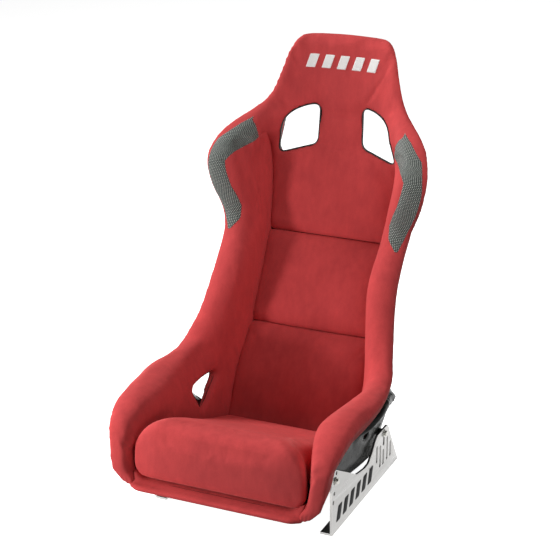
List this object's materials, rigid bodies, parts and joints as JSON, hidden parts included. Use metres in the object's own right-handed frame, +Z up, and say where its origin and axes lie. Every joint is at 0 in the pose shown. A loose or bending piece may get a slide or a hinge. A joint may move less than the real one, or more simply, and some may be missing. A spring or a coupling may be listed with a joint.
{
  "type": "racing bucket seat",
  "caption": "Fixed-back racing bucket seat: padded glass-fibre shell with winged shoulders and belt slots, a loose seat cushion, and folded side mounts.",
  "frame": {"origin": "on the floor, under the middle of the whole seat", "axes": "+Z up, the seat faces -Y, +X is the sitter's left"},
  "size_m": [0.566, 0.763, 0.966],
  "materials": {
    "red_velour": "short-pile velour",
    "spotted_mesh": "dark spotted spacer mesh",
    "black_gelcoat": "gloss gelcoat on glass fibre",
    "black_trim": "satin moulded edge trim",
    "polished_alloy": "bright polished",
    "zinc_steel": "bright zinc",
    "hook_tape": "woven hook-and-loop tape"
  },
  "bodies": {
    "mounts": {"side_mount_left": "polished_alloy", "side_mount_right": "polished_alloy"},
    "seat": {"shell": "black_gelcoat", "side_bolster_left": "red_velour", "side_bolster_right": "red_velour", "head_and_upper_back_pad": "red_velour", "middle_back_pad": "red_velour", "lumbar_pad": "red_velour", "front_lip_pad": "red_velour", "shoulder_mesh_left": "spotted_mesh", "shoulder_mesh_right": "spotted_mesh", "belt_slot_trim_left": "black_trim", "belt_slot_trim_right": "black_trim", "hook_strip_left": "hook_tape", "hook_strip_right": "hook_tape", "bolt_front_left": "zinc_steel", "washer_front_left": "zinc_steel", "spacer_front_left": "polished_alloy", "insert_front_left": "zinc_steel", "bolt_front_right": "zinc_steel", "washer_front_right": "zinc_steel", "spacer_front_right": "polished_alloy", "insert_front_right": "zinc_steel", "bolt_rear_left": "zinc_steel", "washer_rear_left": "zinc_steel", "spacer_rear_left": "polished_alloy", "insert_rear_left": "zinc_steel", "bolt_rear_right": "zinc_steel", "washer_rear_right": "zinc_steel", "spacer_rear_right": "polished_alloy", "insert_rear_right": "zinc_steel"},
    "cushion": {"seat_cushion": "red_velour", "loop_strip_left": "hook_tape", "loop_strip_right": "hook_tape"}
  },
  "joints": [
    {"name": "seat_tilt", "type": "hinge", "parent": "mounts", "child": "seat", "pos_m": [0, -0.21396, 0.125], "axis": [-1, 0, 0], "range_deg": [0, 5]},
    {"name": "cushion_lift", "type": "slide", "parent": "seat", "child": "cushion", "axis": [0, -0.5, 0.866], "range_m": [0, 0.45]}
  ]
}
